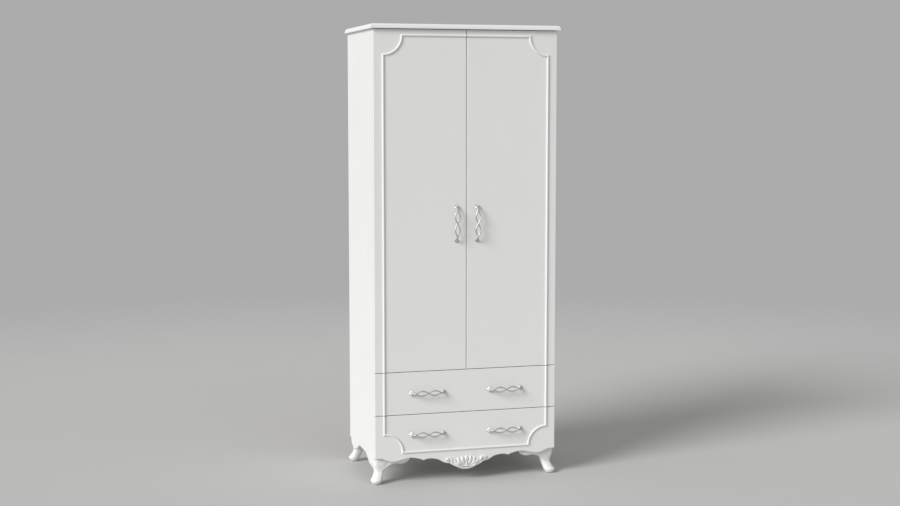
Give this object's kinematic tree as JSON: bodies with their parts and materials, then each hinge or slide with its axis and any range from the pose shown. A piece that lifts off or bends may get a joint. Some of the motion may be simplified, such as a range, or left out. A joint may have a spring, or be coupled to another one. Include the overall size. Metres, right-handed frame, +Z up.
{
  "type": "wardrobe with doors",
  "caption": "Tall white wardrobe with hinged doors over full-width drawers, bead moulding with scooped corners, twisted bow handles, shaped apron and cabriole feet.",
  "frame": {"origin": "on the floor under the middle of the whole object's box", "axes": "+X to the viewer's right, +Y to the back, +Z up"},
  "size_m": [0.93, 0.597, 2.176],
  "materials": {
    "white_board": "white satin film on fibreboard",
    "white_lacquer": "white satin lacquer on wood mouldings",
    "box_board": "white melamine board",
    "hardboard": "white coated hardboard",
    "handle_metal": "warm satin plated casting",
    "steel": "zinc plated steel",
    "rail_chrome": "bright chrome",
    "felt": "pressed felt",
    "bumper_plastic": "clear soft bumper"
  },
  "bodies": {
    "carcass": {"back_panel": "hardboard", "bottom_panel": "white_board", "cam_locks": "steel", "cornice": "white_lacquer", "fixed_shelf": "white_board", "foot_bolts": "steel", "foot_front_left": "white_lacquer", "foot_front_right": "white_lacquer", "foot_glides": "felt", "foot_rear_left": "white_lacquer", "foot_rear_right": "white_lacquer", "hanging_rail": "rail_chrome", "hat_shelf": "white_board", "hinge_arm_pins": "steel", "hinge_arms": "steel", "hinge_plates": "steel", "rail_sockets": "rail_chrome", "runner_cabinet_channels": "steel", "shelf_pins": "steel", "side_panel_left": "white_board", "side_panel_right": "white_board", "top_panel": "white_board"},
    "hinge_link_left": {"hinge_links_left": "steel"},
    "hinge_link_right": {"hinge_links_right": "steel"},
    "door_left": {"door_bumpers_left": "bumper_plastic", "door_handle_left": "handle_metal", "door_handle_screws_left": "steel", "door_moulding_left": "white_lacquer", "door_panel_left": "white_board", "hinge_cup_pins_left": "steel", "hinge_cups_left": "steel"},
    "door_right": {"door_bumpers_right": "bumper_plastic", "door_handle_right": "handle_metal", "door_handle_screws_right": "steel", "door_moulding_right": "white_lacquer", "door_panel_right": "white_board", "hinge_cup_pins_right": "steel", "hinge_cups_right": "steel"},
    "drawer_upper": {"upper_drawer_back": "box_board", "upper_drawer_bottom": "hardboard", "upper_drawer_front": "white_board", "upper_drawer_handle_screws": "steel", "upper_drawer_handles": "handle_metal", "upper_drawer_moulding": "white_lacquer", "upper_drawer_side_left": "box_board", "upper_drawer_side_right": "box_board", "upper_runner_drawer_members": "steel"},
    "drawer_lower": {"apron_carving": "white_lacquer", "lower_drawer_back": "box_board", "lower_drawer_bottom": "hardboard", "lower_drawer_front": "white_board", "lower_drawer_handle_screws": "steel", "lower_drawer_handles": "handle_metal", "lower_drawer_moulding": "white_lacquer", "lower_drawer_side_left": "box_board", "lower_drawer_side_right": "box_board", "lower_runner_drawer_members": "steel"},
    "runner_middle_upper": {"upper_runner_middle_members": "steel"},
    "runner_middle_lower": {"lower_runner_middle_members": "steel"}
  },
  "joints": [
    {"name": "left_hinge_arm_pivot", "type": "hinge", "parent": "carcass", "child": "hinge_link_left", "pos_m": [-0.426, -0.2415, 1.3465], "axis": [0, 0, -1], "range_deg": [-41, 0]},
    {"name": "left_door_swing", "type": "hinge", "parent": "hinge_link_left", "child": "door_left", "pos_m": [-0.441, -0.2514, 1.3465], "axis": [0, 0, -1], "range_deg": [0, 141]},
    {"name": "right_hinge_arm_pivot", "type": "hinge", "parent": "carcass", "child": "hinge_link_right", "pos_m": [0.426, -0.2415, 1.3465], "axis": [0, 0, 1], "range_deg": [-41, 0]},
    {"name": "right_door_swing", "type": "hinge", "parent": "hinge_link_right", "child": "door_right", "pos_m": [0.441, -0.2514, 1.3465], "axis": [0, 0, 1], "range_deg": [0, 141]},
    {"name": "upper_drawer_slide", "type": "slide", "parent": "carcass", "child": "drawer_upper", "axis": [0, -1, 0], "range_m": [0, 0.45]},
    {"name": "upper_runner_slide", "type": "slide", "parent": "carcass", "child": "runner_middle_upper", "axis": [0, -1, 0], "range_m": [0, 0.225]},
    {"name": "lower_drawer_slide", "type": "slide", "parent": "carcass", "child": "drawer_lower", "axis": [0, -1, 0], "range_m": [0, 0.45]},
    {"name": "lower_runner_slide", "type": "slide", "parent": "carcass", "child": "runner_middle_lower", "axis": [0, -1, 0], "range_m": [0, 0.225]}
  ],
  "couplings": [
    {"joint": "left_hinge_arm_pivot", "follows": "left_door_swing", "ratio": -0.29078},
    {"joint": "right_hinge_arm_pivot", "follows": "right_door_swing", "ratio": -0.29078},
    {"joint": "upper_runner_slide", "follows": "upper_drawer_slide", "ratio": 0.5},
    {"joint": "lower_runner_slide", "follows": "lower_drawer_slide", "ratio": 0.5}
  ]
}
